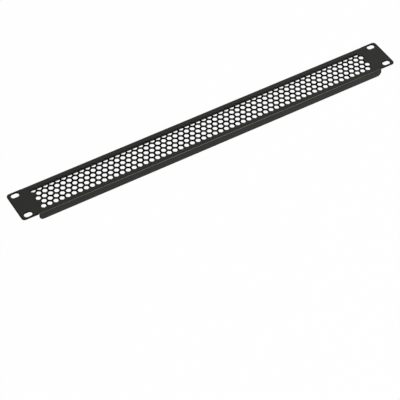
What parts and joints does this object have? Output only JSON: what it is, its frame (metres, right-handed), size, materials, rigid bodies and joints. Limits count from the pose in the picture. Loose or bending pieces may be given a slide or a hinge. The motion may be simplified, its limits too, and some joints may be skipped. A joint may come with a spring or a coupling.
{
  "type": "rack blanking panel",
  "caption": "Vented blanking panel for an equipment rack: a folded steel face with staggered hexagonal holes, two shallow flanges and slotted ears.",
  "frame": {"origin": "centre of the four screw slots, on the back face of the ears, which lies against the rack's rails", "axes": "+X along the panel, +Y across its height, +Z out of the front face, away from the rack"},
  "size_m": [0.4826, 0.0436, 0.01],
  "materials": {
    "powder_coated_steel": "fine satin black powder coat"
  },
  "bodies": {
    "root": {"panel": "powder_coated_steel"}
  },
  "joints": []
}
